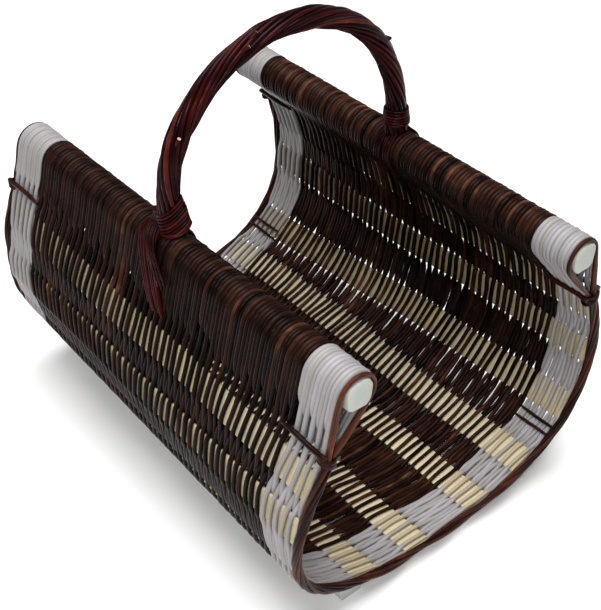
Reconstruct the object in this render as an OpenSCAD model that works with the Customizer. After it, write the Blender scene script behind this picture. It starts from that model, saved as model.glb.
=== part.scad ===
// Open-ended log basket: a trough of willow rods woven on lengthwise laths, hung from two
// wooden rails and carried by a fixed bow handle. +Z is up, Y runs along the rails, and the
// origin is on the floor under the middle of the basket.

/* [Rails] */
// Length of both rails, which is the length of the basket
rail_length = 540; // [440:10:700]
// Diameter of the bare rail
rail_d = 34.6; // [28:0.2:40]
// Distance between the two rail axes
rail_spacing = 305; // [280:5:340]
// Height of the rail axes above the floor
rail_height = 312; // [280:1:360]

/* [Trough] */
// Half width of the wall at the neck under the rail
neck_x = 181.1; // [170:0.1:190]
// Height of the neck under the rail axis
neck_drop = 55; // [48:0.1:75]
// Half width of the wall at its widest
widest_x = 204.6; // [195:0.1:215]
// Height of the widest place under the rail axis
widest_drop = 156.4; // [140:0.1:175]
// Height of the middle line of the floor of the trough
floor_z = 17.4; // [16:0.1:24]
// Squareness of the lower corners: 2 is an ellipse
corner_power = 2.4; // [2:0.1:2.8]

/* [Weave] */
// Diameter of one willow rod
rod_d = 4.8; // [4:0.1:5]
// Width of one lath
lath_w = 34; // [24:1:38]
// Thickness of one lath
lath_t = 5; // [4:0.5:6]
// Half length of the brown weave
brown_half = 215; // [150:1:225]
// Distance of the outer face of the border from the rail ends
border_inset = 3; // [3:1:12]
// Thickness of the border along the basket
border_t = 8; // [6:1:10]

/* [Handle] */
// Radius of the bow, to its middle line
bow_r = 148.8; // [140:0.2:155]
// Height of the centre of the bow above the rail axes
bow_lift = 46.2; // [42:0.2:60]
// Thickness of the wrapped handle
handle_d = 24; // [20:1:28]
// Diameter of the rod inside the handle
handle_core_d = 12; // [8:1:14]

/* [Runners] */
// Distance of the runner's middle from the middle of the basket
runner_x = 125.5; // [110:0.5:140]
// Width of one runner
runner_w = 27; // [20:1:32]
// Length of one runner
runner_length = 492; // [400:2:520]

/* [Hidden] */
$fn = 96;
rail_x = rail_spacing / 2;
rail_r = rail_d / 2;
neck_z = rail_height - neck_drop;
widest_z = rail_height - widest_drop;
wall_half = lath_t / 2 + rod_d;
wrap_gap = 0.05;
wrap_r = rail_r + rod_d;
border_y1 = rail_length / 2 - border_inset;
border_y0 = border_y1 - border_t;
lath_end = border_y0;
side_steps = 10;
corner_steps = 30;

// Places of the laths, measured round the wall from the middle of the floor, left to right
LATH_PLACES = [-350, -288, -212, -122, -38, 52, 127, 197, 278, 350];

LATHS = [for (i = [1 : len(LATH_PLACES)]) str("lath_", i < 10 ? "0" : "", i)];

// Middle line of the right half of the wall, from the neck down to the middle of the floor
function side_x(u) = widest_x - (widest_x - neck_x) * u * u;
side_line = [for (i = [0 : side_steps - 1]) let (u = 1 - i / side_steps)
    [side_x(u), widest_z + u * (neck_z - widest_z)]];
corner_line = [for (i = [0 : corner_steps]) let (t = 90 * i / corner_steps)
    [widest_x * pow(cos(t), 2 / corner_power),
     widest_z - (widest_z - floor_z) * pow(sin(t), 2 / corner_power)]];
half_line = concat(side_line, corner_line);
last = len(half_line) - 1;

// Distance of each point of half_line from the middle of the floor, round the wall
function lengths(p) = [for (i = len(p) - 1, s = 0; i >= 0;
    s = s + (i > 0 ? norm(p[i] - p[i - 1]) : 0), i = i - 1) s];
reach = lengths(half_line);
function unit(v) = v / norm(v);

// Outward normal of the middle line at point i
function line_normal(i) = let (
    before = half_line[max(i - 1, 0)],
    after = i == last ? [-half_line[last - 1][0], half_line[last - 1][1]] : half_line[i + 1],
    along = unit(after - before)) [-along[1], along[0]];
function offset_line(d) = [for (i = [0 : last]) half_line[i] + d * line_normal(i)];
function mirrored(p) = [for (i = [len(p) - 1 : -1 : 0]) [-p[i][0], p[i][1]]];
function full_line(d) = concat(offset_line(d), mirrored(offset_line(d)));

// Point and outward normal at distance s round the wall from the middle of the floor
function index_at(s) = max([for (k = [0 : last - 1]) if (reach[k] <= s) k]);
function wall_at(s) = let (
    a = abs(s), k = index_at(a), j = last - k,
    f = (a - reach[k]) / (reach[k + 1] - reach[k]),
    p = half_line[j] + f * (half_line[j - 1] - half_line[j]),
    n = unit(line_normal(j) + f * (line_normal(j - 1) - line_normal(j))),
    side = s < 0 ? -1 : 1)
    [[side * p[0], p[1]], [side * n[0], n[1]]];

// Extrudes a drawing in X and Z along Y, from y0 to y1
module along_y(y0, y1) {
    translate([0, y1, 0]) rotate([90, 0, 0]) linear_extrude(y1 - y0) children();
}

// A straight rod along Y
module rod_along_y(p, d, y0, y1) {
    translate([p[0], y1, p[1]]) rotate([90, 0, 0]) cylinder(d = d, h = y1 - y0);
}

module both_sides() {
    children();
    mirror([1, 0, 0]) children();
}

// Four corners of the straight part of a loop drawn round the rail and round the neck
function loop_corners(r_rail, r_neck) = let (
    c = [rail_x, rail_height], n = [neck_x, neck_z],
    phi = atan2(n[1] - c[1], n[0] - c[0]),
    beta = acos((r_rail - r_neck) / norm(n - c)),
    left = [cos(phi - beta), sin(phi - beta)],
    right = [cos(phi + beta), sin(phi + beta)])
    [c + r_rail * right, c + r_rail * left, n + r_neck * left, n + r_neck * right];

// Trough wall with its two loops over the rails, from y0 to y1
module trough(y0, y1) {
    difference() {
        union() {
            along_y(y0, y1) polygon(concat(full_line(wall_half), [for (i = [2 * last + 1 : -1 : 0])
                full_line(-wall_half)[i]]));
            both_sides() {
                along_y(y0, y1) polygon(loop_corners(wrap_r, wall_half));
                rod_along_y([rail_x, rail_height], 2 * wrap_r, y0, y1);
            }
        }
        both_sides() {
            rod_along_y([rail_x, rail_height], rail_d + 2 * wrap_gap, y0 - 1, y1 + 1);
            along_y(y0 - 1, y1 + 1) polygon(loop_corners(rail_r, wall_half - rod_d));
        }
    }
}

// One lath in its place in the wall
module lath_bar(place, y0, y1) {
    spot = wall_at(place);
    turn = atan2(spot[1][0], spot[1][1]);
    translate([spot[0][0], (y0 + y1) / 2, spot[0][1]]) rotate([0, turn, 0])
        cube([lath_w, y1 - y0, lath_t], center = true);
}

module weave(y0, y1) {
    difference() {
        trough(y0, y1);
        for (place = LATH_PLACES) lath_bar(place, y0 - 1, y1 + 1);
    }
}

module rail(side) {
    color("wheat") rod_along_y([side * rail_x, rail_height], rail_d, -rail_length / 2, rail_length / 2);
}

module lath(i) { color("burlywood") lath_bar(LATH_PLACES[i - 1], -lath_end, lath_end); }

module weave_brown() { color([0.22, 0.12, 0.08]) weave(-brown_half, brown_half); }
module weave_white_front() { color("whitesmoke") weave(-border_y0, -brown_half); }
module weave_white_rear() { color("whitesmoke") weave(brown_half, border_y0); }
module border_front() { color("saddlebrown") trough(-border_y1, -border_y0); }
module border_rear() { color("saddlebrown") trough(border_y0, border_y1); }

// Thin rods lying along the basket on the wall, across one white band; face is 1 on the
// outside and -1 on the inside
tie_d = 5;
module face_ties(side, y0, y1, places, faces) {
    for (s = places, face = faces) {
        spot = wall_at(side * s);
        rod_along_y(spot[0] + face * (wall_half + tie_d / 2) * spot[1], tie_d, y0, y1);
    }
}
tie_y0 = brown_half - 6;
neck_place = [378];
band_places = [167, 178];
module neck_tie(side, y0, y1) { color("maroon") face_ties(side, y0, y1, neck_place, [-1, 1]); }
module band_ties(side, y0, y1) {
    color("maroon") face_ties(side, y0, y1, band_places, side < 0 ? [1] : [-1, 1]);
}

// Half of the handle: a quarter of the bow and one leg, as a round bar of diameter d
module handle_bar(d) {
    translate([0, 0, rail_height + bow_lift]) rotate([90, 0, 0])
        rotate_extrude(angle = 180, $fn = 180) translate([bow_r, 0]) circle(d = d, $fn = 48);
    both_sides() translate([bow_r, 0, rail_height]) cylinder(d = d, h = bow_lift);
}

module rail_clearance() {
    both_sides() rod_along_y([rail_x, rail_height], 2 * wrap_r, -handle_d, handle_d);
}

module handle_core() {
    color("saddlebrown") difference() {
        handle_bar(handle_core_d);
        rail_clearance();
    }
}

module handle_rods() {
    color("brown") difference() {
        handle_bar(handle_d);
        handle_bar(handle_core_d);
        rail_clearance();
    }
}

// Turns of a rod lashed round the foot of the handle, just above the spread ends
tail_t = 5;
collar_d = 5;
collar_turns = 5;
collar_z = rail_height + wrap_r + tail_t + collar_d / 2;
module collar(side) {
    color("maroon") for (i = [0 : collar_turns - 1])
        translate([side * bow_r, 0, collar_z + i * collar_d]) rotate_extrude()
            translate([(handle_d + collar_d) / 2, 0]) circle(d = collar_d, $fn = 32);
}

// Ends of the handle rods, spread over the rail and laid down both faces of the loop
tail_w = 30;
tail_low = 0.86;
module tail(side) {
    outer = loop_corners(wrap_r + tail_t, wall_half + tail_t);
    function down(a, b) = a + tail_low * (b - a);
    color("maroon") mirror([side < 0 ? 1 : 0, 0, 0]) difference() {
        union() {
            along_y(-tail_w / 2, tail_w / 2)
                polygon([outer[0], outer[1], down(outer[1], outer[2]), down(outer[0], outer[3])]);
            rod_along_y([rail_x, rail_height], 2 * (wrap_r + tail_t), -tail_w / 2, tail_w / 2);
        }
        rod_along_y([rail_x, rail_height], 2 * wrap_r, -tail_w, tail_w);
        along_y(-tail_w, tail_w) polygon(loop_corners(wrap_r, wall_half));
        translate([bow_r, 0, rail_height]) cylinder(d = handle_d, h = bow_lift);
    }
}

// Wooden skid under a lower corner, its top shaped to the wall
module runner(side) {
    color("antiquewhite") difference() {
        translate([side * runner_x - runner_w / 2, -runner_length / 2, 0])
            cube([runner_w, runner_length, widest_z / 2]);
        along_y(-rail_length, rail_length) polygon(full_line(wall_half));
    }
}

rail(-1);  // rail_left
rail(1);  // rail_right
for (i = [1 : len(LATHS)]) lath(i);
weave_brown();
weave_white_front();
weave_white_rear();
border_front();
border_rear();
neck_tie(-1, -border_y1, -tie_y0);  // neck_tie_front_left
neck_tie(1, -border_y1, -tie_y0);  // neck_tie_front_right
neck_tie(-1, tie_y0, border_y1);  // neck_tie_rear_left
neck_tie(1, tie_y0, border_y1);  // neck_tie_rear_right
band_ties(-1, -border_y1, -brown_half);  // band_ties_front_left
band_ties(1, -border_y1, -brown_half);  // band_ties_front_right
band_ties(-1, brown_half, border_y1);  // band_ties_rear_left
band_ties(1, brown_half, border_y1);  // band_ties_rear_right
handle_core();
handle_rods();
collar(-1);  // collar_left
collar(1);  // collar_right
tail(-1);  // tail_left
tail(1);  // tail_right
runner(-1);  // runner_left
runner(1);  // runner_right
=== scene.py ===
import math

import bpy
import numpy as np
from mathutils import Matrix, Vector


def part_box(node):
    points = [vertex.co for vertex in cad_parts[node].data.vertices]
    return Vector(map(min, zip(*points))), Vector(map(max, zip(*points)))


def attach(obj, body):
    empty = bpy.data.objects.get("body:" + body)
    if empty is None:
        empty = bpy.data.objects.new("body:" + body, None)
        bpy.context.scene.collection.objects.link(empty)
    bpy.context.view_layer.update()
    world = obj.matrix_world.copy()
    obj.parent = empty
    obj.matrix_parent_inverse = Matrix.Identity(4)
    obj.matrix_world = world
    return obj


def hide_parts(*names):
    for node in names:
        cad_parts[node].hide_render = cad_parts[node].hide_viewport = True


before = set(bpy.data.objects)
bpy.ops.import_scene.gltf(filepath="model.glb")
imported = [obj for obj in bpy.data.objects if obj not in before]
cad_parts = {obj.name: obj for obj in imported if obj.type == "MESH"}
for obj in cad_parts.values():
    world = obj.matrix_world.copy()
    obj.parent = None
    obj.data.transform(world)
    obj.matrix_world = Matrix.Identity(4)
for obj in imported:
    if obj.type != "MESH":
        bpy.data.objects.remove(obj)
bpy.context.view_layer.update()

MM = 0.001


# ---------------------------------------------------------------- sizes, in millimetres

def box_mm(node):
    low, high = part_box(node)
    return np.array(low) / MM, np.array(high) / MM


RAIL_LOW, RAIL_HIGH = box_mm("rail_right")
WEAVE_LOW, WEAVE_HIGH = box_mm("weave_brown")
BORDER_LOW, BORDER_HIGH = box_mm("border_rear")
RUNNER_LOW, RUNNER_HIGH = box_mm("runner_right")
HANDLE_LOW, HANDLE_HIGH = box_mm("handle_rods")
COLLAR_LOW, COLLAR_HIGH = box_mm("collar_right")

RAIL_X = (RAIL_LOW[0] + RAIL_HIGH[0]) / 2
RAIL_Z = (RAIL_LOW[2] + RAIL_HIGH[2]) / 2
RAIL_R = (RAIL_HIGH[0] - RAIL_LOW[0]) / 2
RAIL_HALF = RAIL_HIGH[1]
ROD_D = WEAVE_HIGH[2] - RAIL_Z - RAIL_R
LATH_T = 5.0
LATH_W = 34.0
# As drawn: a lath's thickness, which is less than in CAD, a rod's diameter and the rods' spacing
LATH_SHOWN = 2.6
ROD_SHOWN = 4.7
ROD_PITCH = 4.78
WALL_HALF = LATH_T / 2 + ROD_D
WIDEST_X = WEAVE_HIGH[0] - WALL_HALF
FLOOR_Z = WEAVE_LOW[2] + WALL_HALF
BROWN_HALF = WEAVE_HIGH[1]
BORDER_Y0 = BORDER_LOW[1]
BORDER_Y1 = BORDER_HIGH[1]
# The neck, where the two faces of a loop meet under the rail, and the widest place below it
NECK_X = 181.1
NECK_Z = RAIL_Z - 55.0
WIDEST_Z = RAIL_Z - 156.4
CORNER_POWER = 2.4
# Distance round the wall from the middle of the floor to where the wall turns up
FLOOR_REACH = 215

# Distance of a rod's middle from the middle of the wall where it passes a lath
WEAVE_RISE = LATH_SHOWN / 2 + ROD_SHOWN / 2
LATH_PLACES = np.array([-350.0, -288, -212, -122, -38, 52, 127, 197, 278, 350])
# How far each lath leans over half the length of the basket
LATH_LEAN = np.array([2.0, -3, 2, 8, 1, 2, -1, 12, 3, -2])

BOW_R = (HANDLE_HIGH[0] - HANDLE_LOW[0]) / 2 - (HANDLE_HIGH[1] - HANDLE_LOW[1]) / 2
HANDLE_R = (HANDLE_HIGH[1] - HANDLE_LOW[1]) / 2
BOW_Z = HANDLE_HIGH[2] - HANDLE_R - BOW_R

# Points along the side of the wall, its corner and the whole of it, and up a loop and round its rail
SIDE_POINTS, CORNER_POINTS, WALL_POINTS = 60, 300, 760
FACE_POINTS, ARC_POINTS = 30, 40

RNG = np.random.RandomState(11)


# ---------------------------------------------------------------- curves

def unit(v):
    return v / np.maximum(np.linalg.norm(v, axis=-1, keepdims=True), 1e-9)


def spread(low, high, count, ends=True):
    return np.linspace(low, high, count, endpoint=ends)


def ease(v):
    """Smooth step from 0 to 1."""
    v = np.clip(v, 0, 1)
    return v * v * (3 - 2 * v)


def waves(v, *parts):
    """Sum of sines of v, each given by its height, its length and its phase."""
    return sum(height * np.sin(v / length + phase) for height, length, phase in parts)


def run_length(line):
    """Distance of each point of a line from its start."""
    return np.concatenate([[0], np.cumsum(np.linalg.norm(np.diff(line, axis=0), axis=1))])


def make_wall():
    """Distance, point and outward normal along the middle of the wall, left neck to right neck."""
    u = spread(1, 0, SIDE_POINTS, ends=False)
    side = np.stack([WIDEST_X - (WIDEST_X - NECK_X) * u ** 2, WIDEST_Z + u * (NECK_Z - WIDEST_Z)], 1)
    t = spread(0, math.pi / 2, CORNER_POINTS)
    power = 2 / CORNER_POWER
    corner = np.stack([WIDEST_X * np.maximum(np.cos(t), 0) ** power,
                       WIDEST_Z - (WIDEST_Z - FLOOR_Z) * np.sin(t) ** power], 1)
    half = np.concatenate([side, corner])
    line = np.concatenate([half * [-1, 1], half[::-1][1:]])
    length = run_length(line)
    even = spread(0, length[-1], WALL_POINTS)
    line = np.stack([np.interp(even, length, line[:, k]) for k in (0, 1)], 1)
    along = unit(np.gradient(line, axis=0))
    return even - even[-1] / 2, line, np.stack([along[:, 1], -along[:, 0]], 1)


WALL_S, WALL_P, WALL_N = make_wall()
NECK_S = WALL_S[-1]


def wall_point(s, h=0.0):
    """Point in X and Z at distance s round the wall, h outward from its middle."""
    p = np.stack([np.interp(s, WALL_S, WALL_P[:, k]) for k in (0, 1)], -1)
    n = unit(np.stack([np.interp(s, WALL_S, WALL_N[:, k]) for k in (0, 1)], -1))
    return p + np.asarray(h)[..., None] * n


def loop_line(side, outer_first, r_rail, r_neck):
    """Line in X and Z from the neck round the rail and back to the neck.

    Its faces touch a circle of r_rail round the rail and one of r_neck round the neck.
    """
    rail = np.array([RAIL_X, RAIL_Z])
    neck = np.array([NECK_X, NECK_Z])
    to_neck = math.atan2(neck[1] - rail[1], neck[0] - rail[0])
    spare = math.acos((r_rail - r_neck) / np.linalg.norm(neck - rail))
    start, end = to_neck + spare, to_neck - spare + 2 * math.pi
    out = np.array([math.cos(start), math.sin(start)])
    inn = np.array([math.cos(end), math.sin(end)])
    share = spread(0, 1, FACE_POINTS)[:, None]
    up = share * (rail + r_rail * out - neck - r_neck * out) + neck + r_neck * out
    angle = spread(start, end, ARC_POINTS)
    arc = rail + r_rail * np.stack([np.cos(angle), np.sin(angle)], 1)
    down = share * (neck + r_neck * inn - rail - r_rail * inn) + rail + r_rail * inn
    line = np.concatenate([up, arc[1:], down[1:]])
    if not outer_first:
        line = line[::-1]
    return line * [side, 1]


def resample(line, step):
    length = run_length(line)
    even = spread(0, length[-1], max(2, int(round(length[-1] / step)) + 1))
    return np.stack([np.interp(even, length, line[:, k]) for k in range(line.shape[1])], 1)


def smooth(line, rounds):
    """Evens out the corners of a line; its two ends stay where they are."""
    for _ in range(rounds):
        line = line.copy()
        line[1:-1] = 0.25 * line[:-2] + 0.5 * line[1:-1] + 0.25 * line[2:]
    return line


def lath_place(k, y):
    """Distance round the wall of lath k at y along the basket."""
    sway = waves(y, (1.6, 61.0, 2.1 * k), (0.8, 27.0, 1.3 * k))
    return LATH_PLACES[k] - LATH_LEAN[k] * y / RAIL_HALF + sway


def all_lath_places(y):
    return np.array([lath_place(k, y) for k in range(len(LATH_PLACES))])


# A rod leaves its face of the wall this far inside a lath's edge, and changes over in this length
FACE_EDGE = 3.2
CHANGE_LENGTH = 6.4
CHANGE_POWER = 1.6


def weave_height(s, y, first):
    """Height of a rod over the middle of the wall: outside one lath, inside the next.

    The rod passes the first lath outside where first is 1, and inside where it is -1.
    """
    reach = LATH_W / 2 - FACE_EDGE
    places = all_lath_places(y)
    faces = [first * (-1) ** k for k in range(len(places))]
    h = np.full_like(s, float(faces[0]))
    h[s > places[-1] + reach] = faces[-1]
    for k, (place, face) in enumerate(zip(places, faces)):
        h[(s >= place - reach) & (s <= place + reach)] = face
        if k + 1 < len(places):
            start, end = place + reach, places[k + 1] - reach
            gap = (s > start) & (s < end)
            before = (s[gap] - start) / CHANGE_LENGTH
            after = (end - s[gap]) / CHANGE_LENGTH
            h[gap] = face * (np.exp(-before ** CHANGE_POWER) - np.exp(-after ** CHANGE_POWER))
    return WEAVE_RISE * h


def waviness(s, y):
    """Sideways drift shared by neighbouring rods."""
    return waves(s, (1.5, 47.0, y / 60.0), (1.1, 21.0, y / 45.0 + 1.7), (0.9, 33.0, 0.6 - y / 52.0))


# The end of a rod bends in between the two faces of its loop, over this length and this far
TUCK_LENGTH = 16
TUCK_DEPTH = 5.5


def tail_of(loop, reach):
    """Tail of a rod on its loop, cut off at reach above the neck and tucked between the two faces.

    Where reach is below 0 the tail goes on past the neck, between its neighbours on that face.
    """
    if reach < 0:
        below = loop[-1] + spread(0, 1, 8)[1:, None] * (-reach * 1.6) * unit(loop[-1] - loop[-2])
        loop, reach = np.concatenate([loop, below]), 0
    length = run_length(loop)
    keep = loop[length < length[-1] - reach]
    left = np.linalg.norm(np.diff(keep, axis=0), axis=1)[::-1].cumsum()[::-1]
    left = np.append(left, 0)
    middle = np.array([np.sign(loop[0, 0]) * (RAIL_X + NECK_X) / 2, (RAIL_Z + NECK_Z) / 2 - 4])
    inward = unit(middle - keep[-1])
    return keep + (TUCK_DEPTH * np.clip(1 - left / TUCK_LENGTH, 0, 1) ** 2)[:, None] * inward


# How far a rod moves aside half way between two laths of the floor, so that every other gap opens
GAP_SHIFT = 0.62
ROD_STEP = 4.5


def rod_line(y, first, radius, tails):
    """Middle line of one weaving rod from its left tail, over both rails, to its right tail.

    With it come three weights along the line: crossing a lath, on the floor and on top of a rail.
    Tails are the shortest reach above the neck and how much further it may be.
    """
    s = np.arange(-NECK_S + 3, NECK_S - 3, 1.5)
    last = -first if len(LATH_PLACES) % 2 == 0 else first
    wall = wall_point(s, weave_height(s, y, first))
    left, right = [tail_of(loop_line(side, face > 0, RAIL_R + radius, WEAVE_RISE),
                           tails[0] + tails[1] * RNG.rand() ** 2)
                   for side, face in ((-1, first), (1, last))]
    left = left[::-1]
    flat = np.concatenate([left[:-1], wall, right[1:]])
    marks = np.concatenate([np.full(len(left) - 1, -NECK_S), s, np.full(len(right) - 1, NECK_S)])
    phase = RNG.uniform(0, 2 * math.pi, 4)
    own = waves(marks, (0.62, 29.0, phase[0]), (0.42, 13.0, phase[1]), (0.24, 7.0, phase[2]))
    near, second = np.sort(np.abs(marks[:, None] - all_lath_places(y)), axis=1)[:, :2].T
    crossing = ease((LATH_W / 2 + 2 - near) / 6) * (np.abs(marks) < NECK_S)
    half_way = np.exp(-((second - near) / 12) ** 2)
    open_floor = ease((marks + FLOOR_REACH) / 30) * ease((FLOOR_REACH + 45 - marks) / 40)
    own += GAP_SHIFT * first * half_way * open_floor
    # The weights ride along as extra columns; the first also brings more points where it changes
    line = np.stack([flat[:, 0], y + waviness(marks, y) + own, flat[:, 1], 10 * crossing, marks / 10], 1)
    line = smooth(resample(line, ROD_STEP), 1)
    on_floor = ease((FLOOR_REACH - np.abs(10 * line[:, 4])) / 30)
    # On top of the rails the rods are painted lighter, as painted light from above; this weight is 1.4
    # over the right rail and 0.6 over the left one
    on_rail = ease((line[:, 2] - RAIL_Z + 5) / 20) * (1 + 0.4 * np.sign(line[:, 0]))
    return line[:, :3], line[:, 3] / 10, on_floor, on_rail


# How far the finished basket is out of true, in millimetres
SKEW_X, SKEW_Z = 9, 5
LEAN, LEAN_LEFT = 3.0, 5.5
NECK_SINK, NECK_RISE, NECK_RISE_LEFT = 5.0, 10.0, 9.0
BOW_LEAN, BOW_BACK, BOW_TURN = 4.0, 1.0, 3.0


def settle(p):
    """The hand-made basket isn't quite true: its upper part leans and its left corner is skewed."""
    x, y, z = p[:, 0], p[:, 1], p[:, 2]
    rise = ease((z - 90) / 180)
    left = ease(0.5 - x / 260)
    neck = np.where(z < 262, ease((z - 150) / 100), ease((RAIL_Z - 14 - z) / 36))
    far = (y + RAIL_HALF) / RAIL_HALF / 2
    corner = left * ease(z / 90) * ease((250 - z) / 150)
    skew = y / RAIL_HALF
    return np.stack([x + SKEW_X * corner * skew, y - rise * (LEAN + LEAN_LEFT * left),
                     z + neck * (-NECK_SINK + (NECK_RISE + NECK_RISE_LEFT * left) * far)
                     + SKEW_Z * corner * skew], 1)


def settle_handle(p):
    """The bow leans a little to the left, and its right foot stands nearer than its left."""
    x, y, z = p[:, 0], p[:, 1], p[:, 2]
    return np.stack([x - BOW_LEAN * ease((z - 340) / 80),
                     y + BOW_BACK - BOW_TURN * np.clip(x / BOW_R, -1, 1), z], 1)


# ---------------------------------------------------------------- meshes

TAPER_STEPS = 4
# The fibre pattern of each tube starts somewhere in this range, so that no two look the same
RUN_RANGE = 900


class Skin:
    """Collects tubes and strips, with the attributes that the materials read, for one object."""

    def __init__(self):
        self.verts, self.quads, self.tris = [], [], []
        self.tone, self.run, self.turn, self.cut = [], [], [], []
        self.count = 0

    def add(self, verts, quads, tris, tone, run, turn, cut):
        n = len(verts)
        self.verts.append(verts)
        self.quads.append(np.asarray(quads, int).reshape(-1, 4) + self.count)
        self.tris.append(np.asarray(tris, int).reshape(-1, 3) + self.count)
        self.tone.append(np.zeros(n) + tone)
        self.run.append(run)
        self.turn.append(turn)
        self.cut.append(cut)
        self.count += n

    def sweep(self, line, section, tone, ref, scale=None, run0=0.0, pale_ends=1.0):
        """Sweeps a closed section along a line; its first axis is ref, made square to the line."""
        along = unit(np.gradient(line, axis=0))
        ref = np.broadcast_to(np.asarray(ref, float), line.shape)
        a = unit(ref - (ref * along).sum(1, keepdims=True) * along)
        b = np.cross(along, a)
        scale = np.ones(len(line)) if scale is None else scale
        m, k = len(line), len(section)
        ring = (line[:, None] + scale[:, None, None]
                * (section[None, :, :1] * a[:, None] + section[None, :, 1:] * b[:, None]))
        length = run_length(line)
        verts = np.concatenate([ring.reshape(-1, 3), line[:1], line[-1:]])
        i = np.arange(m - 1)[:, None] * k
        j = np.arange(k)[None, :]
        j2 = (j + 1) % k
        quads = np.stack([i + j, i + j2, i + k + j2, i + k + j], -1)
        here, after, end = np.arange(k), (np.arange(k) + 1) % k, (m - 1) * k
        first = np.stack([np.full(k, m * k), after, here], 1)
        final = np.stack([np.full(k, m * k + 1), end + here, end + after], 1)
        run = np.concatenate([np.repeat(length, k), length[:1], length[-1:]]) + run0
        turn = np.concatenate([np.tile(np.arange(k) / k, m), [0, 0]])
        # Only the points in the middle of the two end faces count as cut wood
        cut = np.concatenate([np.zeros(m * k), [pale_ends, pale_ends]])
        tone = np.zeros(m) + tone
        tone = np.concatenate([np.repeat(tone, k), tone[:1], tone[-1:]])
        self.add(verts, quads, np.concatenate([first, final]), tone, run, turn, cut)

    def tube(self, line, radius, tone, ref=(0, 1, 0), sides=8, taper=(1.0, 1.0), pale_ends=0.0):
        """A round rod along a line; taper is how thick its two tips are against the rest."""
        angle = spread(0, 2 * math.pi, sides, ends=False)
        section = np.stack([np.cos(angle), np.sin(angle)], 1)
        scale = np.zeros(len(line)) + radius
        for k in range(min(TAPER_STEPS, len(line) // 2)):
            t = k / TAPER_STEPS
            scale[k] *= taper[0] + (1 - taper[0]) * t
            scale[-1 - k] *= taper[1] + (1 - taper[1]) * t
        self.sweep(line, section, tone, ref, scale, RNG.uniform(0, RUN_RANGE), pale_ends)

    def build(self, name, material, replaces, place=settle):
        """Makes one object of it, riding the root body in the place of the CAD nodes it replaces."""
        mesh = bpy.data.meshes.new(name)
        verts = place(np.concatenate(self.verts)) * MM
        quads = np.concatenate(self.quads)
        tris = np.concatenate(self.tris)
        loops = np.concatenate([quads.ravel(), tris.ravel()])
        starts = np.concatenate([np.arange(len(quads)) * 4, len(quads) * 4 + np.arange(len(tris)) * 3])
        mesh.vertices.add(len(verts))
        mesh.vertices.foreach_set("co", verts.ravel())
        mesh.loops.add(len(loops))
        mesh.loops.foreach_set("vertex_index", loops.astype(np.int32))
        mesh.polygons.add(len(starts))
        mesh.polygons.foreach_set("loop_start", starts.astype(np.int32))
        mesh.polygons.foreach_set("use_smooth", np.arange(len(starts)) < len(quads))
        for key in ("tone", "run", "turn", "cut"):
            layer = mesh.attributes.new(key, "FLOAT", "POINT")
            layer.data.foreach_set("value", np.concatenate(getattr(self, key)).astype(np.float32))
        mesh.update(calc_edges=True)
        mesh.validate()
        mesh.materials.append(material)
        piece = bpy.data.objects.new(name, mesh)
        bpy.context.scene.collection.objects.link(piece)
        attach(piece, "root")
        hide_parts(*replaces)


# ---------------------------------------------------------------- materials

def node(tree, kind, **values):
    made = tree.nodes.new(kind)
    for key, value in values.items():
        setattr(made, key, value)
    return made


def ramp(tree, stops):
    made = node(tree, "ShaderNodeValToRGB")
    band = made.color_ramp
    while len(band.elements) < len(stops):
        band.elements.new(0.5)
    for element, (place, colour) in zip(band.elements, stops):
        element.position = place
        element.color = (*colour, 1)
    return made


# Fibres run along a piece: steps per millimetre and per turn, then noise scales of fibre and blotch
FIBRE_ALONG, FIBRE_ROUND, FIBRE_SCALE, BLOTCH_SCALE = 0.035, 9.0, 2.2, 38.0
FIBRE_SHARE = 0.5
FIBRE_RELIEF = 0.0006


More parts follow.
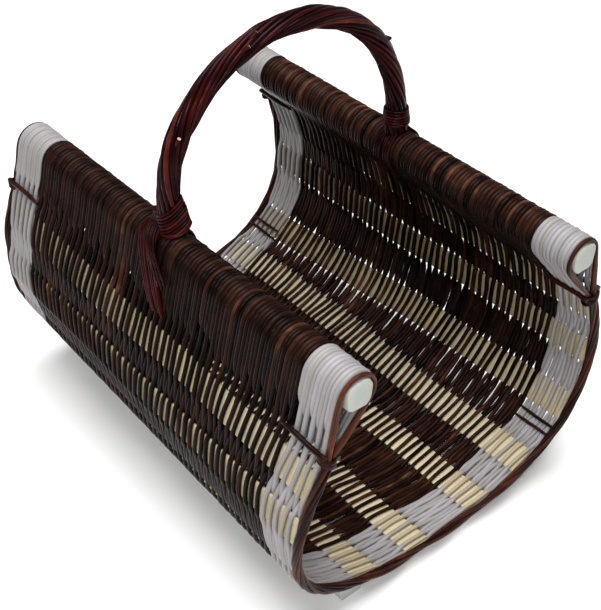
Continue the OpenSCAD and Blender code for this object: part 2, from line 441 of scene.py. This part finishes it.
def wood(name, stops, cut_colour, roughness=(0.3, 0.55), shine=0.3, tint=(1, 1, 1), grain=1.0,
         blotch=0.35, bump=0.3):
    """Willow or sawn wood: colour by piece, long fibres along it, blotches and cut ends."""
    material = bpy.data.materials.new(name)
    material.use_nodes = True
    tree = material.node_tree
    shader = tree.nodes["Principled BSDF"]
    link = tree.links.new
    tone = node(tree, "ShaderNodeAttribute", attribute_name="tone")
    run = node(tree, "ShaderNodeAttribute", attribute_name="run")
    turn = node(tree, "ShaderNodeAttribute", attribute_name="turn")
    cut = node(tree, "ShaderNodeAttribute", attribute_name="cut")
    # Fibres are far finer round the piece than along it
    place = node(tree, "ShaderNodeCombineXYZ")
    around = node(tree, "ShaderNodeMath", operation="MULTIPLY")
    around.inputs[1].default_value = FIBRE_ROUND
    along = node(tree, "ShaderNodeMath", operation="MULTIPLY")
    along.inputs[1].default_value = FIBRE_ALONG
    link(turn.outputs["Fac"], around.inputs[0])
    link(run.outputs["Fac"], along.inputs[0])
    link(along.outputs[0], place.inputs[0])
    link(around.outputs[0], place.inputs[1])
    link(tone.outputs["Fac"], place.inputs[2])
    fibre = node(tree, "ShaderNodeTexNoise")
    fibre.inputs["Scale"].default_value = FIBRE_SCALE * grain
    fibre.inputs["Detail"].default_value = 5.0
    fibre.inputs["Roughness"].default_value = 0.6
    link(place.outputs[0], fibre.inputs["Vector"])
    patch = node(tree, "ShaderNodeTexNoise")
    patch.inputs["Scale"].default_value = BLOTCH_SCALE
    patch.inputs["Detail"].default_value = 3.0
    coords = node(tree, "ShaderNodeTexCoord")
    link(coords.outputs["Object"], patch.inputs["Vector"])
    # Tone, fibre and blotch together choose a place on the ramp, with tone alone as their mean
    fibre_part = node(tree, "ShaderNodeMath", operation="MULTIPLY_ADD")
    fibre_part.inputs[1].default_value = FIBRE_SHARE
    link(fibre.outputs["Fac"], fibre_part.inputs[0])
    link(tone.outputs["Fac"], fibre_part.inputs[2])
    patch_part = node(tree, "ShaderNodeMath", operation="MULTIPLY_ADD")
    patch_part.inputs[1].default_value = blotch
    link(patch.outputs["Fac"], patch_part.inputs[0])
    link(fibre_part.outputs[0], patch_part.inputs[2])
    centre = node(tree, "ShaderNodeMath", operation="SUBTRACT")
    centre.inputs[1].default_value = (FIBRE_SHARE + blotch) / 2
    link(patch_part.outputs[0], centre.inputs[0])
    colour = ramp(tree, stops)
    link(centre.outputs[0], colour.inputs["Fac"])
    ends = node(tree, "ShaderNodeMixRGB")
    ends.inputs["Color2"].default_value = (*cut_colour, 1)
    sharp_cut = node(tree, "ShaderNodeMath", operation="GREATER_THAN")
    sharp_cut.inputs[1].default_value = 0.05
    link(cut.outputs["Fac"], sharp_cut.inputs[0])
    link(sharp_cut.outputs[0], ends.inputs["Fac"])
    link(colour.outputs["Color"], ends.inputs["Color1"])
    link(ends.outputs["Color"], shader.inputs["Base Color"])
    rough = node(tree, "ShaderNodeMapRange")
    rough.inputs["To Min"].default_value = roughness[0]
    rough.inputs["To Max"].default_value = roughness[1]
    link(fibre.outputs["Fac"], rough.inputs["Value"])
    link(rough.outputs["Result"], shader.inputs["Roughness"])
    shader.inputs["Specular IOR Level"].default_value = shine
    shader.inputs["Specular Tint"].default_value = (*tint, 1)
    relief = node(tree, "ShaderNodeBump")
    relief.inputs["Strength"].default_value = bump
    relief.inputs["Distance"].default_value = FIBRE_RELIEF
    link(fibre.outputs["Fac"], relief.inputs["Height"])
    link(relief.outputs["Normal"], shader.inputs["Normal"])
    return material


BROWN = wood("brown_willow", [(0.0, (0.0010, 0.0007, 0.0006)), (0.35, (0.0045, 0.0021, 0.0014)),
                              (0.6, (0.0125, 0.0047, 0.0031)), (0.85, (0.033, 0.0120, 0.0065)),
                              (1.0, (0.10, 0.042, 0.022))], (0.25, 0.17, 0.10), shine=0.06,
             tint=(1.0, 0.78, 0.70), roughness=(0.14, 0.32), blotch=0.8)
WHITE = wood("white_willow", [(0.0, (0.39, 0.32, 0.20)), (0.3, (0.29, 0.25, 0.185)),
                              (0.5, (0.245, 0.23, 0.225)), (1.0, (0.33, 0.32, 0.35))],
             (0.4, 0.34, 0.26), roughness=(0.3, 0.55), blotch=0.35, shine=0.3)
MAHOGANY = wood("border_willow", [(0.0, (0.0025, 0.0013, 0.0012)), (0.4, (0.0075, 0.0024, 0.0020)),
                                  (0.7, (0.036, 0.0095, 0.0055)), (1.0, (0.12, 0.036, 0.017))],
                (0.25, 0.17, 0.13), shine=0.10, tint=(1.0, 0.72, 0.64), roughness=(0.18, 0.38), blotch=0.6)
HANDLE = wood("handle_willow", [(0.0, (0.0020, 0.0004, 0.0005)), (0.35, (0.0095, 0.0010, 0.0010)),
                                (0.65, (0.029, 0.0031, 0.0026)), (1.0, (0.10, 0.019, 0.012))],
              (0.45, 0.31, 0.21), roughness=(0.12, 0.28), shine=0.09, tint=(1.0, 0.72, 0.80), blotch=0.9)
LATH = wood("lath_wood", [(0.0, (0.20, 0.15, 0.08)), (0.35, (0.40, 0.33, 0.20)),
                          (0.7, (0.53, 0.46, 0.31)), (1.0, (0.62, 0.57, 0.46))],
            (0.5, 0.45, 0.36), roughness=(0.5, 0.7), grain=2.5)
PALE = wood("rail_wood", [(0.0, (0.34, 0.32, 0.245)), (0.4, (0.42, 0.42, 0.36)),
                          (0.8, (0.49, 0.51, 0.46)), (1.0, (0.55, 0.57, 0.54))],
            (0.42, 0.455, 0.435), roughness=(0.5, 0.7), grain=2.0)


# ---------------------------------------------------------------- weave

def tone_of(middle, width):
    """A random place on the colour ramp for one piece."""
    return float(np.clip(RNG.normal(middle, width), 0.02, 0.98))


BUTT, TIP = 1.10, 0.94
# Rods swell between the laths, less so on the floor, and they are thinner over the floor's laths
SWELL, SWELL_LESS, THINNED = 0.14, 0.10, 0.13


def make_rods(name, ys, firsts, material, radius, tone, replaces, tails, stain=0.0, painted_top_light=0.0):
    """The rods at ys as one object.

    Stain moves their tone down the ramp over the laths; the last argument moves it up on the floor and on
    top of the rails, as painted light from above.
    """
    skin = Skin()
    for y, first in zip(ys, firsts):
        line, crossing, on_floor, on_rail = rod_line(y, first, radius, tails)
        # A rod is thicker at its butt than at its tip, and butts come from both sides
        thick = spread(BUTT, TIP, len(line))
        if RNG.rand() < 0.5:
            thick = thick[::-1]
        girth = 1 + 0.035 * np.sin(np.arange(len(line)) / RNG.uniform(2.5, 5) + RNG.uniform(0, 6))
        close = 1 + (SWELL - SWELL_LESS * on_floor) * (1 - crossing) - THINNED * on_floor * crossing
        size = radius * thick * girth * close * RNG.uniform(0.93, 1.10)
        # The floor and the tops of the rails are painted lighter here: painted light from above
        shade = tone_of(*tone) - stain * crossing * (0.35 + 0.65 * on_floor) + painted_top_light * (on_floor + on_rail)
        skin.tube(line, size, shade, taper=(0.35, 0.35))
    skin.build(name, material, replaces)


BROWN_COUNT = int(round(2 * BROWN_HALF / ROD_PITCH))
WHITE_COUNT = 10
BROWN_PITCH = 2 * BROWN_HALF / BROWN_COUNT
BROWN_YS = -BROWN_HALF + BROWN_PITCH * (np.arange(BROWN_COUNT) + 0.5)
BROWN_SIDES = [(-1) ** i for i in range(BROWN_COUNT)]
BROWN_OBJECTS = 4
for k in range(BROWN_OBJECTS):
    part = slice(k * BROWN_COUNT // BROWN_OBJECTS, (k + 1) * BROWN_COUNT // BROWN_OBJECTS)
    make_rods(f"brown_rods_{k + 1}", BROWN_YS[part], BROWN_SIDES[part], BROWN,
              ROD_SHOWN / 2, (0.40, 0.17), ("weave_brown",), (-6, 19), painted_top_light=0.17)

WHITE_PITCH = (BORDER_Y0 + 3 - BROWN_HALF) / WHITE_COUNT
# White rods lie close enough to press into each other a little
WHITE_R = WHITE_PITCH * 0.515
WHITE_YS = BROWN_HALF + WHITE_PITCH * (np.arange(WHITE_COUNT) + 0.5)
REAR_SIDES = [-BROWN_SIDES[-1] * (-1) ** i for i in range(WHITE_COUNT)]
FRONT_SIDES = [-BROWN_SIDES[0] * (-1) ** i for i in range(WHITE_COUNT)]
make_rods("white_rods_rear", WHITE_YS, REAR_SIDES, WHITE, WHITE_R, (0.64, 0.08),
          ("weave_white_rear",), (2, 8), stain=0.12)
make_rods("white_rods_front", -WHITE_YS, FRONT_SIDES, WHITE, WHITE_R, (0.64, 0.08),
          ("weave_white_front",), (9, 12), stain=0.5)


# ---------------------------------------------------------------- laths

def rounded_bar(width, height, edge):
    """Section of a flat bar with rounded edges."""
    points = []
    for sx, sy, a0 in ((1, 1, 0), (-1, 1, 90), (-1, -1, 180), (1, -1, 270)):
        for a in (0, 45, 90):
            angle = math.radians(a0 + a)
            points.append([sx * (width / 2 - edge) + edge * math.cos(angle),
                           sy * (height / 2 - edge) + edge * math.sin(angle)])
    return np.array(points)


def lath_line(k, y0, y1):
    """Middle line of lath k, and the direction out of the wall along it."""
    y = spread(y0, y1, 70)
    s = lath_place(k, y)
    flat = wall_point(s)
    normal = unit(wall_point(s, 1.0) - flat)
    line = np.stack([flat[:, 0], y, flat[:, 1]], 1)
    ref = np.stack([normal[:, 0], np.zeros(len(y)), normal[:, 1]], 1)
    return line, ref


for k in range(len(LATH_PLACES)):
    skin = Skin()
    line, ref = lath_line(k, -BORDER_Y0 - 1, BORDER_Y0 + 1)
    # The laths of the walls are painted darker than those of the floor, most on the right and away from
    # the front end: painted shade where the walls stand in shade
    painted_shade = 0.30 * ease((abs(LATH_PLACES[k]) - 130) / 80) * ease((line[:, 1] + 190) / 260)
    painted_shade += 0.30 * ease((LATH_PLACES[k] - 150) / 80)
    skin.sweep(line, rounded_bar(LATH_SHOWN - 0.1, LATH_W - 1, 1.0), tone_of(0.58, 0.08) - painted_shade, ref)
    skin.build(f"lath_{k + 1:02d}_wood", LATH, (f"lath_{k + 1:02d}",))


# ---------------------------------------------------------------- rails

# How much a rail is shaved at top and bottom, on its sides and at its ends, and how square it is
SHAVED_TALL, SHAVED_WIDE, SHAVED_END = 1.9, 2.9, 1.5
RAIL_POWER = 3.2


def make_rail(side, name, nodename):
    """A hand-shaved rail: a rounded square in section, a little narrower than tall."""
    skin = Skin()
    angle = spread(0, 2 * math.pi, 48, ends=False)
    power = 2 / RAIL_POWER
    tall = (RAIL_R - SHAVED_TALL) * np.sign(np.cos(angle)) * np.abs(np.cos(angle)) ** power
    wide = (RAIL_R - SHAVED_WIDE) * np.sign(np.sin(angle)) * np.abs(np.sin(angle)) ** power
    facet = 1 + 0.02 * np.cos(5 * angle + side) + 0.012 * np.cos(9 * angle)
    section = np.stack([tall * facet, wide * facet], 1)
    half = RAIL_HALF - SHAVED_END
    y = np.concatenate([[-half - 0.05, -half, -half + 0.5, -half + 1.8], spread(-half + 8, half - 8, 60),
                        [half - 1.8, half - 0.5, half, half + 0.05]])
    scale = np.concatenate([[0.5, 0.94, 0.98, 1.0], np.ones(60), [1.0, 0.98, 0.94, 0.5]])
    line = np.stack([np.full(len(y), side * RAIL_X), y, np.full(len(y), RAIL_Z)], 1)
    skin.sweep(line, section, 0.6, (0, 0, 1), scale)
    skin.build(name, PALE, (nodename,))


make_rail(-1, "rail_left_wood", "rail_left")
make_rail(1, "rail_right_wood", "rail_right")


# ---------------------------------------------------------------- borders

BORDER_RISE = 3.4
BORDER_TWIST = 190.0
STRAND_COUNT = 6


def border_line(y):
    """Middle line of a border over one rail, round the wall and over the other rail.

    With it comes a weight: how far a point lies on the wall and not on a loop.
    """
    left = loop_line(-1, True, RAIL_R + BORDER_RISE, 2.5)[::-1]
    right = loop_line(1, True, RAIL_R + BORDER_RISE, 2.5)
    s = np.arange(-NECK_S + 4, NECK_S - 4, 2.0)
    flat = np.concatenate([left, wall_point(s), right])
    bulge = np.concatenate([np.full(len(left), 1.6), 1.6 + 1.6 * np.cos(math.pi * s / 2 / NECK_S) ** 0.7,
                            np.full(len(right), 1.6)])
    on_wall = np.concatenate([np.zeros(len(left)), np.ones(len(s)), np.zeros(len(right))])
    line = np.stack([flat[:, 0], np.full(len(flat), y) + np.sign(y) * bulge, flat[:, 1], 10 * on_wall], 1)
    line = smooth(resample(line, 4.0), 3)
    return line[:, :3], np.clip(line[:, 3] / 10, 0, 1)


def make_border(end, name, nodename):
    skin = Skin()
    base, on_wall = border_line(end * (BORDER_Y0 + BORDER_Y1) / 2)
    along = unit(np.gradient(base, axis=0))
    a = np.array([0.0, 1.0, 0.0])
    b = unit(np.cross(along, a))
    length = run_length(base)
    on_wall = smooth(on_wall[:, None], 8)[:, 0]
    # Two strands lie together round the rails; four more join them along the wall
    wall_part = np.where(on_wall > 0.5)[0]
    for strand in range(STRAND_COUNT):
        turn = 2 * math.pi * (strand / STRAND_COUNT + length / BORDER_TWIST)
        if strand in (0, 3):
            part, width = slice(None), 1.0 + 3.0 * on_wall + 0.4 * np.sin(length / 23 + strand) * on_wall
        else:
            part, width = slice(wall_part[0], wall_part[-1] + 1), 3.4 + 0.8 * np.sin(length / 17 + strand)
            width = width * ease((np.abs(length - length[-1] / 2) - 60) / 300 + 0.55)
        line = base + (0.8 * width * np.cos(turn))[:, None] * a + (width * np.sin(turn))[:, None] * b
        radius = (RNG.uniform(1.8, 2.3) + 0.2 * np.sin(length / 19 + 2 * strand))[part]
        # Over the left rail the strands are a lighter brown than over the right one
        tone = tone_of(0.5, 0.15) + (0.07 - 0.06 * np.sign(base[part, 0])) * (1 - on_wall[part])
        skin.tube(smooth(line[part], 1), radius, tone, ref=(0, 1, 0), taper=(0.7, 0.7))
    skin.build(name, MAHOGANY, (nodename,))


make_border(-1, "border_rods_front", "border_front")
make_border(1, "border_rods_rear", "border_rear")


# ---------------------------------------------------------------- ties

def along_wall(s, h, y0, y1, count=14):
    """Line along the basket at distance s round the wall, h outward from its middle."""
    y = spread(y0, y1, count)
    p = wall_point(np.full(count, float(s)), np.full(count, float(h)))
    wobble = 0.5 * np.sin(spread(0, 5, count) + s)
    return np.stack([p[:, 0], y, p[:, 1] + wobble], 1)


KNOT_DOWN = 5.0
KNOT_TURNS = 3
# Distance round the wall of the two rods tied across each white band
BAND_TIES = (167, 178)


def make_ties(end, side):
    """The lashing along the neck with its knot, and the two thin rods across the white band."""
    skin = Skin()
    y0, y1 = end * (BROWN_HALF - 7), end * BORDER_Y1
    face = loop_line(side, True, RAIL_R + ROD_D + 2.2, WEAVE_RISE + ROD_D / 2 + 2.6)
    # The second and the last but one point lie just above the neck, one on each face
    for at in (1, -2):
        y = spread(y0, y1, 16)
        bend = 0.7 * np.sin(y / 9.0 + at)
        line = np.stack([face[at, 0] + 0 * y, y, face[at, 1] + bend], 1)
        skin.tube(line, 2.8, tone_of(0.5, 0.1), ref=(1, 0, 0), taper=(0.6, 1.0))
    # A knot of a few turns round the border at the neck
    for turn in range(KNOT_TURNS):
        angle = spread(0, 2 * math.pi, 28)
        y = end * (BORDER_Y1 - 4.5) + 7.0 * np.cos(angle)
        radial = 8.6 * np.sin(angle)
        drop = 3.4 * (turn - 1) + 1.6 * np.sin(angle + turn)
        p = wall_point(np.full(len(angle), side * (NECK_S - KNOT_DOWN)), radial)
        line = np.stack([p[:, 0], y, p[:, 1] + drop], 1)
        skin.tube(line, 1.7, tone_of(0.5, 0.12), ref=(0, 0, 1))
    word = ("front" if end < 0 else "rear") + ("_left" if side < 0 else "_right")
    skin.build(f"neck_lashing_{word}", MAHOGANY, (f"neck_tie_{word}",))
    low = Skin()
    for face_sign in (-1, 1) if side > 0 else (1,):
        for s in BAND_TIES:
            # The tie is pulled down onto the rods, which stand highest over a lath
            height = abs(float(weave_height(np.array([side * float(s)]), y0, 1)[0])) + ROD_D / 2 + 2.0
            line = along_wall(side * s, face_sign * height, end * BROWN_HALF, end * (BORDER_Y1 - 3))
            low.tube(line, 1.9, tone_of(0.4, 0.12), ref=(1, 0, 0), taper=(0.6, 0.8))
    low.build(f"band_lashing_{word}", MAHOGANY, (f"band_ties_{word}",))


for end in (-1, 1):
    for side in (-1, 1):
        make_ties(end, side)


# ---------------------------------------------------------------- handle

def bow_frame(t):
    """Point and outward direction of the bow at distance t from the top of the left rail."""
    leg = BOW_Z - RAIL_Z - RAIL_R
    arc = math.pi * BOW_R
    angle = math.pi - np.clip((t - leg) / BOW_R, 0, math.pi)
    point = np.stack([BOW_R * np.cos(angle), 0 * t, BOW_Z + BOW_R * np.sin(angle)], 1)
    point[:, 2] -= np.maximum(leg - t, 0) + np.maximum(t - leg - arc, 0)
    out = np.stack([np.cos(angle), 0 * t, np.sin(angle)], 1)
    return point, out


BOW_LENGTH = math.pi * BOW_R + 2 * (BOW_Z - RAIL_Z - RAIL_R)
STRANDS = 12
STRAND_R = 2.75
TWIST_LENGTH = 300.0
# Place along the bow of each short stub, and its angle round it from outward towards the near end
STUBS = ((96.0, 0.9), (200.0, 1.0), (214.0, 0.5), (395.0, 0.4))


def make_handle():
    """The bow: its core, the rods twisted round it and the stubs that stand out of them."""
    skin = Skin()
    t = spread(2, BOW_LENGTH - 2, 130)
    point, out = bow_frame(t)
    near = np.array([0.0, -1.0, 0.0])
    for strand in range(STRANDS):
        phase = 2 * math.pi * strand / STRANDS + RNG.uniform(-0.06, 0.06)
        turn = phase - 2 * math.pi * t / TWIST_LENGTH
        wander = 0.35 * np.sin(t / 31 + phase * 3) + 0.25 * np.sin(t / 17 + phase * 5)
        foot = ease((40 - np.minimum(t, BOW_LENGTH - t)) / 40)
        r = HANDLE_R - STRAND_R + wander - 0.4 + 1.6 * foot
        line = point + (r * np.cos(turn))[:, None] * out + (r * np.sin(turn))[:, None] * near
        girth = 1 + 0.09 * np.sin(t / RNG.uniform(9, 16) + phase) + 0.06 * np.sin(t / 5.3 + 2 * phase)
        skin.tube(line, STRAND_R * RNG.uniform(0.85, 1.08) * girth, tone_of(0.47, 0.18), ref=(0, 0.3, 1))
    # Stubs of side twigs and tucked ends, cut off short
    for place, angle in STUBS:
        at, outward = bow_frame(np.array([place, place + 9.0]))
        way = math.cos(angle) * outward[0] + math.sin(angle) * near
        root = at[0] + (HANDLE_R - 3.5) * way
        tip = at[1] + (HANDLE_R + 1.6) * way
        skin.tube(root + spread(0, 1, 6)[:, None] * (tip - root), 2.3, 0.55, ref=(0.3, 0.4, 1),
                  taper=(1.0, 0.85), pale_ends=1.0)
    skin.build("handle_strands", HANDLE, ("handle_rods",), settle_handle)
    core = Skin()
    line, _ = bow_frame(spread(4, BOW_LENGTH - 4, 90))
    core.tube(line, 7.0, 0.2, ref=(0, 1, 0), sides=12)
    core.build("handle_bow", HANDLE, ("handle_core",), settle_handle)


make_handle()


def make_collar(side, name, nodename):
    """Turns of a thin rod round the foot; on the left they slant and run on down over the rail."""
    skin = Skin()
    slanted = side < 0
    pitch = 3.3
    turns, lean, grow = (9, 10.0, 0.35) if slanted else (6, 0.6, 0.30)
    high = COLLAR_HIGH[2] - (6.5 if slanted else 2.0)
    on_rail = RAIL_R + ROD_D + 1.9
    for k in range(turns):
        angle = spread(0, 2 * math.pi, 48) + 0.7 * k
        r = HANDLE_R + 0.6 + grow * k + 0.25 * np.sin(3 * angle + k)
        x = side * BOW_R + r * np.cos(angle)
        y = r * np.sin(angle) - (0.9 * k if slanted else 0)
        # The turns rise towards the near right and lie on the rail where they reach it
        free = high - pitch * k + lean * np.cos(angle + 0.72)
        across = np.abs(x) - RAIL_X
        rail_top = RAIL_Z + np.sqrt(np.maximum(on_rail ** 2 - across ** 2, 0))
        line = smooth(np.stack([x, y, np.maximum(free, rail_top)], 1), 2)
        skin.tube(line, RNG.uniform(1.35, 1.65), tone_of(0.6 if slanted else 0.46, 0.12), ref=(0, 0, 1))
    skin.build(name, HANDLE, (nodename,), settle_handle)


make_collar(-1, "collar_turns_left", "collar_left")
make_collar(1, "collar_turns_right", "collar_right")


def tail_strand(side, direction, y_top, y_low, reach, proud):
    """One strand from inside the collar, over the rail and down one face of the loop.

    It lies proud of the face by that much, and its direction is 1 on the outer face.
    """
    face = loop_line(side, True, RAIL_R + ROD_D + 2.2 + proud, WEAVE_RISE + ROD_D + proud)
    length = run_length(face)
    top = np.argmax(face[:, 1])
    t = spread(0, 1, 34)
    at = length[top] - direction * (8 + reach * t)
    flat = np.stack([np.interp(at, length, face[:, k]) for k in (0, 1)], 1)
    y = y_top + (y_low - y_top) * t ** 1.3
    line = np.stack([flat[:, 0], y, flat[:, 1]], 1)
    start = np.array([side * (BOW_R + direction * (HANDLE_R - 4.0)), 0.6 * y_top, COLLAR_LOW[2] + 14])
    lead = np.stack([start, start - [0, 0, 7], start - [-side * direction * 1.5, 0, 13]], 0)
    return smooth(resample(np.concatenate([lead, line]), 3.5), 3)


def make_tails(side, name, nodename):
    """Ends of the handle strands, spread over the rail and laid down both faces of the loop."""
    skin = Skin()
    for direction in (-1, 1):
        # Each strand: y on the rail, y at its end, reach down the face, radius, how proud it lies
        if side < 0 < direction:
            # A broad flat bundle slants down, and thinner strands from the collar cross it
            strands = [(22 - 4.4 * k, -12 - 4.6 * k, 76 + 3 * (k % 3), 2.5, 0.0) for k in range(6)]
            strands += [(15 - 2.8 * k, -22 - 3.4 * k, 50 + 5 * (k % 2), 1.45, 2.8) for k in range(5)]
        else:
            # Two loose groups of thin strands
            strands = [(y, 1.25 * y - 3, RNG.uniform(46, 70), 1.5, 0.0)
                       for y in (10, 6.6, 3.2, -3, -6.4, -9.6)]
        for y_top, y_low, reach, radius, proud in strands:
            line = tail_strand(side, direction, y_top, y_low, reach, proud)
            skin.tube(line, radius, tone_of(0.46 if side < 0 else 0.34, 0.14), taper=(1.0, 0.7))
    if side > 0:
        # The cut butt of one strand shows at the lowest of the turns
        butt = np.array([BOW_R - 1.0, -5.0, RAIL_Z + RAIL_R + 15.0])
        skin.tube(butt + spread(0, 9, 6)[:, None] * unit(np.array([-0.5, -0.6, 0.3])), 3.4, 0.5,
                  ref=(0, 0, 1), pale_ends=1.0)
    skin.build(name, HANDLE, (nodename,), settle_handle)


make_tails(-1, "handle_tails_left", "tail_left")
make_tails(1, "handle_tails_right", "tail_right")


# ---------------------------------------------------------------- runners

# The runners are drawn this much longer at each end than in CAD, as the end in the photo is
RUNNER_EXTRA = 9


def make_runner(side, name, nodename):
    """A plain wooden runner, shaped on top to fit the curve of the wall."""
    skin = Skin()
    x0, x1 = RUNNER_LOW[0], RUNNER_HIGH[0]
    s = spread(60, 200, 200)
    under = wall_point(s, np.full(200, WALL_HALF))
    xs = spread(x1 - 0.6, x0 + 0.6, 7)
    top = np.interp(xs, under[:, 0], under[:, 1]) - 0.1
    outline = [[x0 + 2.5, 0.0], [x1 - 2.5, 0.0], [x1 - 0.7, 0.7], [x1, 2.5]]
    outline += [[x, z] for x, z in zip(xs, top)]
    outline += [[x0, 2.5], [x0 + 0.7, 0.7]]
    outline = np.array(outline)
    middle = outline.mean(0)
    # Swept along Y with Z as the first axis of the section
    section = np.stack([outline[:, 1] - middle[1], outline[:, 0] - middle[0]], 1)
    half = RUNNER_HIGH[1] + RUNNER_EXTRA
    y = np.concatenate([[-half], spread(-half + 2, half - 2, 40), [half]])
    line = np.stack([np.full(len(y), side * middle[0]), y, np.full(len(y), middle[1])], 1)
    if side < 0:
        section = section * [1, -1]
    skin.sweep(line, section, 0.7, (0, 0, 1))
    skin.build(name, PALE, (nodename,))


make_runner(-1, "runner_left_wood", "runner_left")
make_runner(1, "runner_right_wood", "runner_right")


# ---------------------------------------------------------------- stage

def make_floor():
    material = bpy.data.materials.new("floor_paper")
    material.use_nodes = True
    shader = material.node_tree.nodes["Principled BSDF"]
    shader.inputs["Base Color"].default_value = (0.95, 0.95, 0.95, 1)
    shader.inputs["Roughness"].default_value = 0.9
    half = 8.0
    mesh = bpy.data.meshes.new("floor")
    mesh.from_pydata([(-half, -half, 0), (half, -half, 0), (half, half, 0), (-half, half, 0)], [],
                     [(0, 1, 2, 3)])
    mesh.materials.append(material)
    floor = bpy.data.objects.new("floor", mesh)
    bpy.context.scene.collection.objects.link(floor)


def area_light(name, place, aim, size, power):
    data = bpy.data.lights.new(name, "AREA")
    data.shape = "DISK"
    data.size = size
    data.energy = power
    light = bpy.data.objects.new(name, data)
    light.location = place
    light.rotation_euler = (Vector(aim) - Vector(place)).to_track_quat("-Z", "Y").to_euler()
    bpy.context.scene.collection.objects.link(light)


def make_light():
    world = bpy.data.worlds.new("studio")
    world.use_nodes = True
    back = world.node_tree.nodes["Background"]
    back.inputs["Color"].default_value = (1.0, 1.0, 1.0, 1)
    back.inputs["Strength"].default_value = 0.34
    bpy.context.scene.world = world
    area_light("top_light", (-0.1, 0.0, 2.6), (0, 0, 0.1), 2.4, 100)
    area_light("front_light", (-1.25, -1.0, 1.35), (0, 0, 0.25), 0.35, 12)


# The camera as fitted to the photo, in degrees, metres and millimetres of focal length
CAMERA_ANGLES = (-41.11, 38.89, 1.32)
CAMERA_PLACE = (-0.7094, -0.8340, 1.0445)
CAMERA_LENS = 73.86
CAMERA_SENSOR = 36.0


def make_camera():
    azimuth, elevation, roll = (math.radians(v) for v in CAMERA_ANGLES)
    back = Vector((math.sin(azimuth) * math.cos(elevation), -math.cos(azimuth) * math.cos(elevation),
                   math.sin(elevation)))
    right = Vector((0, 0, 1)).cross(back).normalized()
    up = back.cross(right)
    right_r = math.cos(roll) * right + math.sin(roll) * up
    up_r = -math.sin(roll) * right + math.cos(roll) * up
    data = bpy.data.cameras.new("camera")
    data.sensor_fit = "VERTICAL"
    data.sensor_height = CAMERA_SENSOR
    data.lens = CAMERA_LENS
    camera = bpy.data.objects.new("camera", data)
    turn = Matrix((right_r, up_r, back)).transposed()
    camera.matrix_world = Matrix.Translation(CAMERA_PLACE) @ turn.to_4x4()
    bpy.context.scene.collection.objects.link(camera)
    bpy.context.scene.camera = camera


make_floor()
make_light()
make_camera()
bpy.context.scene.view_settings.view_transform = "Standard"
